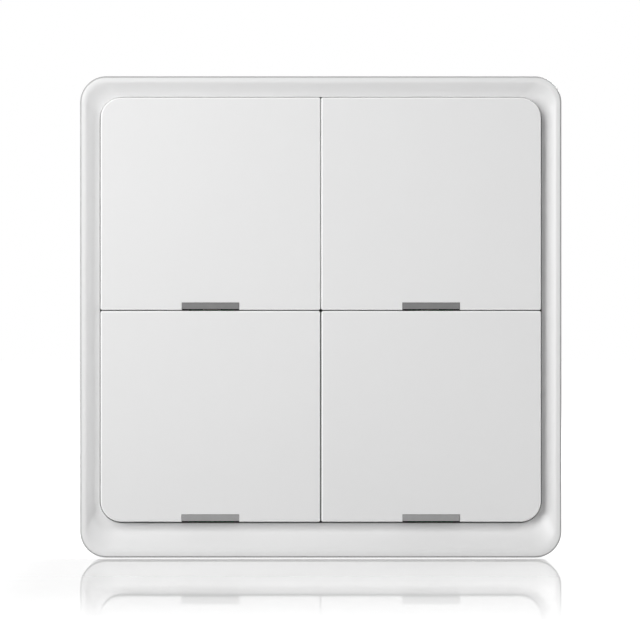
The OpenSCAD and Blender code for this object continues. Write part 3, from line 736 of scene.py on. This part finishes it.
class Finish:
    def __init__(self, name, tree=None):
        if tree is None:
            self.material = bpy.data.materials.new(name)
            self.material.use_nodes = True
            tree = self.material.node_tree
        self.tree = tree
        tree.nodes.clear()

    def node(self, kind, settings=None, sockets=None, output=0):
        node = self.tree.nodes.new(kind)
        for setting, value in (settings or {}).items():
            if setting == "stops":  # a colour ramp's two ends
                for element, (position, shade) in zip(node.color_ramp.elements, value):
                    element.position = position
                    element.color = (*shade, 1)
            else:
                setattr(node, setting, value)
        for entry, value in (sockets or {}).items():
            plug(node.inputs[entry], value)
        return Wire(node.outputs[output]) if node.outputs else None

    def spot(self, scale=(1, 1, 1)):  # object coordinates, which may be stretched
        where = self.node("ShaderNodeTexCoord", output="Object")
        return self.node("ShaderNodeMapping", sockets={"Vector": where, "Scale": scale})

    def noise(self, where, scale, detail=2, crisp=0.5):
        return self.node("ShaderNodeTexNoise", sockets={
            "Vector": where, "Scale": scale, "Detail": detail, "Roughness": crisp})

    def blend(self, amount, first, second):  # between two colours
        return self.node("ShaderNodeValToRGB", {"stops": [(0, first), (1, second)]}, {"Fac": amount})

    def mix(self, amount, first, second):  # between two colours that may vary
        return self.node("ShaderNodeMix", {"data_type": "RGBA"}, {0: amount, 6: first, 7: second}, output=2)

    def ramp(self, value, start, end, kind="SMOOTHSTEP"):  # 0 to 1 between two values
        return self.node("ShaderNodeMapRange", {"interpolation_type": kind}, {
            "Value": value, "From Min": start, "From Max": end})

    def axes(self, where):  # x, y and z
        return [self.node("ShaderNodeSeparateXYZ", sockets={"Vector": where}, output=i) for i in range(3)]

    def bump(self, height, distance):
        return self.node("ShaderNodeBump", sockets={"Strength": 1.0, "Distance": distance, "Height": height})

    def rays(self, kind):
        return self.node("ShaderNodeLightPath", output=f"Is {kind} Ray")

    def seen(self):  # 1 for what is looked at, also in metal and through glass, 0 for what gives light
        return self.rays("Camera") + self.rays("Glossy") + self.rays("Transmission") > 0.5

    def surface(self, **sockets):
        shader = self.node("ShaderNodeBsdfPrincipled", sockets={spaced(k): v for k, v in sockets.items()})
        self.node("ShaderNodeOutputMaterial", sockets={"Surface": shader})
        return self.material


def spaced(name):  # baseColor is the socket Base Color
    return "".join(" " + letter if letter.isupper() else letter for letter in name).title()


def grey(level):
    return (level, level, level)


def solidGrey(level):  # with its alpha
    return (level, level, level, 1)


# moulded plastics
bezelFinish = {
    "pale": grey(0.83), "dull": grey(0.81), "rough": 0.33, "grain": 3400, "grainDepth": 0.0015 * mm}
keyFinish = {
    "pale": grey(0.83), "dull": grey(0.81), "rough": 0.3, "grain": 4200, "grainDepth": 0.004 * mm}
baseFinish = {
    "pale": grey(0.78), "dull": grey(0.70), "rough": 0.55, "grain": 2600, "grainDepth": 0.02 * mm}
carrierFinish = {
    "pale": grey(0.07), "dull": grey(0.05), "rough": 0.55, "grain": 3000, "grainDepth": 0.01 * mm}
blackFinish = {
    "pale": grey(0.05), "dull": grey(0.025), "rough": 0.45, "grain": 3600, "grainDepth": 0.008 * mm}
chipFinish = {
    "pale": grey(0.06), "dull": grey(0.03), "rough": 0.38, "grain": 6000, "grainDepth": 0.004 * mm}
ceramicFinish = {
    "pale": (0.50, 0.36, 0.23), "dull": (0.40, 0.28, 0.17), "rough": 0.5,
    "grain": 5200, "grainDepth": 0.006 * mm}
ledFinish = {
    "pale": (0.88, 0.86, 0.74), "dull": (0.80, 0.77, 0.62), "rough": 0.25,
    "grain": 5200, "grainDepth": 0.003 * mm}
sparked = {  # what they share: soft clouds of tone under a fine sparked grain
    "cloud": 38, "cloudShare": 0.75, "detail": 3, "crisp": 0.65,
    "roughLess": 0.06, "roughCloud": 0.07, "roughGrain": 0.05,
}
paintedEdgeShade = {  # painted shade: a grey line along the bezel's outer front edge, where the rounded edge turns away into shade
    "grey": 0.42, "share": 0.8, "across": (0.42 * mm, 0.2 * mm), "down": (1.1 * mm, 0.6 * mm)}
paintedEdgeHighlight = {  # painted highlight: the keys' rounded edges made paler, by how far they turn from the front
    "grey": 0.97, "start": (0.999, 0.975), "end": (0.15, 0.45)}


def alongPaintedEdgeShade(finish):  # 1 on the bezel's outer front edge, where shade is painted, 0 away from it
    low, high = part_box("front_bezel")
    x, y, z = finish.axes(finish.spot())
    corner = bezel["cornerRadius"]
    sideways = (abs(x) - (high.x - corner)).atLeast(0.0)
    upright = (abs(z) - (high.z - corner)).atLeast(0.0)
    reach = (sideways ** 2.0 + upright ** 2.0) ** 0.5
    rim = -low.y
    across = finish.ramp(reach, *(corner - w for w in paintedEdgeShade["across"]))
    return across * finish.ramp(-1.0 * y, *(rim - d for d in paintedEdgeShade["down"])) * paintedEdgeShade["share"]


def onPaintedEdgeHighlight(finish):  # 1 on the keys' rounded front edges, where a highlight is painted, 0 on their faces and sides
    normal = finish.node("ShaderNodeTexCoord", output="Normal")
    facing = finish.axes(normal)[1] * -1.0
    return finish.ramp(facing, *paintedEdgeHighlight["start"]) * finish.ramp(facing, *paintedEdgeHighlight["end"])


def moulded(name, look, paintedMask=None, paintedGrey=None):  # where the mask is 1, another grey is painted in: painted shade on the bezel's edge, a painted highlight on the keys' edges
    finish = Finish(name)
    where = finish.spot()
    cloud = finish.noise(where, sparked["cloud"])
    grain = finish.noise(where, look["grain"], sparked["detail"], sparked["crisp"])
    tone = cloud * sparked["cloudShare"] + grain * (1 - sparked["cloudShare"])
    colour = finish.blend(tone, look["dull"], look["pale"])
    if paintedMask:
        # the mask paints shade on the bezel's edge and a highlight on the keys' edges
        colour = finish.mix(paintedMask(finish), colour, solidGrey(paintedGrey))
    smoothest = look["rough"] - sparked["roughLess"]
    return finish.surface(
        baseColor=colour,
        roughness=smoothest + cloud * sparked["roughCloud"] + grain * sparked["roughGrain"],
        normal=finish.bump(grain, look["grainDepth"]))


# smoky plastic of the windows
smokedFinish = {
    # painted light and shade: the upper pair's greys are darker, the lower pair's paler, blended by height
    # across the span
    "upper": (0.13, 0.18), "lower": (0.26, 0.34), "span": (-30 * mm, -5 * mm),
    "haze": 420, "hazeDetail": 3, "hazeCrisp": 0.6, "grain": 5200, "grainDepth": 0.003 * mm,
    "rough": 0.28, "roughGrain": 0.1, "coat": 0.3, "coatRough": 0.15,
}


def smoked(name):  # painted light and shade: paler in the lower pair of windows, darker in the upper pair
    finish = Finish(name)
    where = finish.spot()
    haze = finish.noise(where, smokedFinish["haze"], smokedFinish["hazeDetail"], smokedFinish["hazeCrisp"])
    grain = finish.noise(where, smokedFinish["grain"])
    upper, lower = (finish.blend(haze, *map(grey, smokedFinish[k])) for k in ("upper", "lower"))
    height = finish.axes(where)[2]
    return finish.surface(
        # painted light and shade by height
        baseColor=finish.mix(finish.ramp(height, *smokedFinish["span"]), lower, upper),
        roughness=smokedFinish["rough"] + grain * smokedFinish["roughGrain"],
        normal=finish.bump(grain, smokedFinish["grainDepth"]),
        coatWeight=smokedFinish["coat"], coatRoughness=smokedFinish["coatRough"])


# foam tape: fibrous film on the faces, open-celled foam between them
foamFinish = {
    "film": (0.80, 0.78, 0.72), "fibre": (0.71, 0.69, 0.63), "foam": (0.34, 0.34, 0.33), "skin": grey(0.5),
    "fibreScale": 700, "fibreStretch": (1, 1, 6), "fibreDetail": 4, "fibreCrisp": 0.7, "cellScale": 5200,
    "rough": 0.7, "roughFibre": 0.2, "fibreRise": 0.4, "depth": 0.02 * mm,
}


def foamed(name):
    finish = Finish(name)
    where = finish.spot()
    stretched = finish.spot(scale=foamFinish["fibreStretch"])
    fibre = finish.noise(
        stretched, foamFinish["fibreScale"], foamFinish["fibreDetail"], foamFinish["fibreCrisp"])
    cells = finish.node("ShaderNodeTexVoronoi", sockets={"Vector": where, "Scale": foamFinish["cellScale"]})
    depth = finish.axes(where)[1] * -1.0
    core = (depth > tape["film"]) * (depth < tape["thick"] - tape["film"])
    film = finish.blend(fibre, foamFinish["fibre"], foamFinish["film"])
    foam = finish.blend(cells, foamFinish["foam"], foamFinish["skin"])
    return finish.surface(
        baseColor=finish.mix(core, film, foam),
        roughness=foamFinish["rough"] + fibre * foamFinish["roughFibre"],
        normal=finish.bump(fibre * foamFinish["fibreRise"] + cells * core, foamFinish["depth"]))


# rolled or plated metals
screwSteel = {"light": grey(0.66), "dark": grey(0.50), "rough": 0.34, "stretch": (1, 1, 1)}
tinnedSteel = {"light": (0.70, 0.70, 0.69), "dark": (0.58, 0.58, 0.57), "rough": 0.3, "stretch": (1, 1, 12)}
domeSteel = {"light": (0.74, 0.73, 0.70), "dark": (0.62, 0.61, 0.58), "rough": 0.24, "stretch": (12, 1, 1)}
cellSteel = {"light": grey(0.74), "dark": grey(0.63), "rough": 0.26, "stretch": (10, 1, 1)}
springBrass = {"light": (0.76, 0.66, 0.41), "dark": (0.62, 0.52, 0.29), "rough": 0.28, "stretch": (1, 1, 10)}
goldTrace = {"light": (0.80, 0.60, 0.29), "dark": (0.66, 0.47, 0.20), "rough": 0.3, "stretch": (1, 1, 1)}
drawn = {  # what they share: fine streaks from drawing, and faint stains
    "streak": 1500, "streakDetail": 4, "streakCrisp": 0.6, "streakShare": 0.6,
    "stain": 160, "stainDetail": 3,
    "roughLess": 0.1, "roughStreak": 0.16, "roughStain": 0.06, "depth": 0.002 * mm,
}


def metal(name, look):
    finish = Finish(name)
    stretched = finish.spot(scale=look["stretch"])
    streak = finish.noise(stretched, drawn["streak"], drawn["streakDetail"], drawn["streakCrisp"])
    stain = finish.noise(finish.spot(), drawn["stain"], drawn["stainDetail"])
    tone = streak * drawn["streakShare"] + stain * (1 - drawn["streakShare"])
    smoothest = look["rough"] - drawn["roughLess"]
    return finish.surface(
        baseColor=finish.blend(tone, look["dark"], look["light"]), metallic=1.0,
        roughness=smoothest + streak * drawn["roughStreak"] + stain * drawn["roughStain"],
        normal=finish.bump(streak, drawn["depth"]))


# green lacquer of the boards, paler over the copper tracks
boardMask = {"bare": (0.012, 0.10, 0.04), "copper": (0.03, 0.21, 0.08), "track": 0.9 * mm, "rough": 0.34}
radioMask = {"bare": (0.008, 0.07, 0.05), "copper": (0.02, 0.16, 0.11), "track": 0.5 * mm, "rough": 0.32}
lacquer = {  # what they share: tracks across or along by region, over the glass weave
    "region": 90, "regionSplit": 0.5, "trackCut": 0.3, "trackShare": 0.8,
    "weave": 2400, "weaveRise": 0.2, "roughLess": 0.04, "roughWeave": 0.1, "depth": 0.02 * mm,
}


def solderMask(name, look):
    finish = Finish(name)
    where = finish.spot()
    turn = 2 * math.pi / look["track"]
    x, _, z = finish.axes(where)
    across, along = (finish.node("ShaderNodeMath", {"operation": "SINE"}, {0: w * turn}) for w in (x, z))
    region = finish.noise(where, lacquer["region"])
    cut, split = lacquer["trackCut"], lacquer["regionSplit"]
    tracks = (across > cut) * (region > split) + (along > cut) * (region < split)
    weave = finish.noise(where, lacquer["weave"])
    tone = tracks * lacquer["trackShare"] + weave * (1 - lacquer["trackShare"])
    return finish.surface(
        baseColor=finish.blend(tone, look["bare"], look["copper"]),
        roughness=look["rough"] - lacquer["roughLess"] + weave * lacquer["roughWeave"],
        normal=finish.bump(tracks + weave * lacquer["weaveRise"], lacquer["depth"]))


# the keys' rounded edges get a painted highlight
keyPlastic = moulded("keyPlastic", keyFinish, onPaintedEdgeHighlight, paintedEdgeHighlight["grey"])
domeMetal = metal("domeSteel", domeSteel)
windowPlastic = smoked("smokedPlastic")
# the bezel's outer front edge gets painted shade
frontBezel.data.materials.append(moulded("bezelPlastic", bezelFinish, alongPaintedEdgeShade, paintedEdgeShade["grey"]))
rearBase.data.materials.append(moulded("basePlastic", baseFinish))
foamTape.data.materials.append(foamed("foamTape"))
for corner in corners:
    keys[corner].data.materials.append(keyPlastic)
    windows[corner].data.materials.append(windowPlastic)
    domes[corner].data.materials.append(domeMetal)

blackPlastic = moulded("blackPlastic", blackFinish)
tinned = metal("tinnedSteel", tinnedSteel)
brass = metal("springBrass", springBrass)
carried = {  # the CAD nodes that stay, by how their names start
    "key_carrier": moulded("carrierPlastic", carrierFinish),
    "circuit_board": solderMask("boardMask", boardMask),
    "board_screws": metal("screwSteel", screwSteel),
    "switch_base": blackPlastic, "switch_plunger": blackPlastic, "battery_holder": blackPlastic,
    "switch_cover": tinned, "switch_terminals": tinned, "radio_shield": tinned, "crystal": tinned,
    "indicator_led": moulded("ledPackage", ledFinish),
    "radio_board": solderMask("radioMask", radioMask),
    "radio_antenna": metal("goldTrace", goldTrace),
    "chip_resistors": moulded("blackChip", chipFinish),
    "chip_capacitors": moulded("ceramicChip", ceramicFinish),
    "battery_positive_clip": brass, "battery_negative_contact": brass,
    "coin_cell": metal("cellSteel", cellSteel),
}
for name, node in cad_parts.items():
    for start, material in carried.items():
        if name.startswith(start):
            for slot in node.material_slots:
                slot.material = material
print("finishes laid on")


# plain studio: pale floor, soft lamps, white all round
studio = {
    "floorZ": -43.2 * mm, "floorSide": 6.0, "floorPale": 0.5,
    "glowNear": 0.9, "glowFar": 1.0, "glowReach": (0.12, 0.4),  # far out it is the backdrop's white
    "glowPolished": 0.65, "glowFront": (-0.3, -0.14), "glowAside": (0.062, 0.044),
    "mirrorEdge": -11 * mm, "mirrorNear": -45 * mm, "mirrorFar": -172 * mm,
    "mirrorShare": 0.61, "mirrorRough": 0.02,
    "ambient": 0.02,
    "lamps": {  # place, size and power
        "keyLamp": ((-0.199, -0.37, 0.157), (0.153, 0.389), 1.22),
        "leftLamp": ((-0.58, -0.42, 0.1), (0.2, 0.26), 1.0),
        "rightLamp": ((0.54, -0.45, 0.405), (0.2, 0.2), 1.1),
        "frontLamp": ((-0.045, -0.45, 0.032), (0.2, 0.1), 0.07),
        "rearLamp": ((0.4, 0.6, 0.45), (0.5, 0.5), 5.5),
    },
}


def addLamp(name, spot, size, power):  # it shines at the origin
    deselectAll()
    turn = (-Vector(spot)).to_track_quat("-Z", "Y").to_euler()
    bpy.ops.object.light_add(type="AREA", location=spot, rotation=turn)
    lamp = bpy.context.object
    lamp.name = name
    lamp.data.shape = "RECTANGLE"
    lamp.data.size, lamp.data.size_y = size
    lamp.data.energy = power


def lightWorld():  # white to look at, and little light of its own
    world = bpy.data.worlds.new("studio")
    bpy.context.scene.world = world
    world.use_nodes = True
    sky = Finish("studio", world.node_tree)
    soft, white = (
        sky.node("ShaderNodeBackground", sockets={"Color": solidGrey(1), "Strength": strength})
        for strength in (studio["ambient"], 1.0))
    mixed = sky.node("ShaderNodeMixShader", sockets={0: sky.seen(), 1: soft, 2: white})
    sky.node("ShaderNodeOutputWorld", sockets={"Surface": mixed})


def makeFloor():  # pale, with a polished strip in front of the panel
    deselectAll()
    bpy.ops.mesh.primitive_plane_add(size=studio["floorSide"], location=(0, 0, studio["floorZ"]))
    floor = bpy.context.object
    floor.name = "floor"
    settle(floor)
    finish = Finish("palePolishedFloor")
    where = finish.node("ShaderNodeTexCoord", output="Object")
    x, depth, _ = finish.axes(where)
    before = depth < studio["mirrorEdge"]
    polish = finish.ramp(depth, studio["mirrorFar"], studio["mirrorNear"]) * before
    pale = finish.node("ShaderNodeBsdfDiffuse", sockets={"Color": solidGrey(studio["floorPale"])})
    reach = finish.node("ShaderNodeVectorMath", {"operation": "LENGTH"}, {0: where}, output="Value")
    spread = finish.ramp(reach, *studio["glowReach"], kind="LINEAR")
    front = finish.ramp(depth, *studio["glowFront"]) * before * finish.ramp(abs(x), *studio["glowAside"])
    white = finish.blend(spread, grey(studio["glowNear"]), grey(studio["glowFar"]))
    tone = finish.mix(front, white, solidGrey(studio["glowPolished"]))
    glow = finish.node("ShaderNodeEmission", sockets={"Color": tone, "Strength": finish.seen()})
    plain = finish.node("ShaderNodeAddShader", sockets={0: pale, 1: glow})
    mirror = finish.node("ShaderNodeBsdfGlossy", sockets={
        "Color": solidGrey(1), "Roughness": studio["mirrorRough"]})
    share = polish * finish.rays("Camera") * studio["mirrorShare"]
    mixed = finish.node("ShaderNodeMixShader", sockets={0: share, 1: plain, 2: mirror})
    finish.node("ShaderNodeOutputMaterial", sockets={"Surface": mixed})
    floor.data.materials.append(finish.material)


makeFloor()
lightWorld()
for name, lamp in studio["lamps"].items():
    addLamp(name, *lamp)
print("studio lit")

deselectAll()
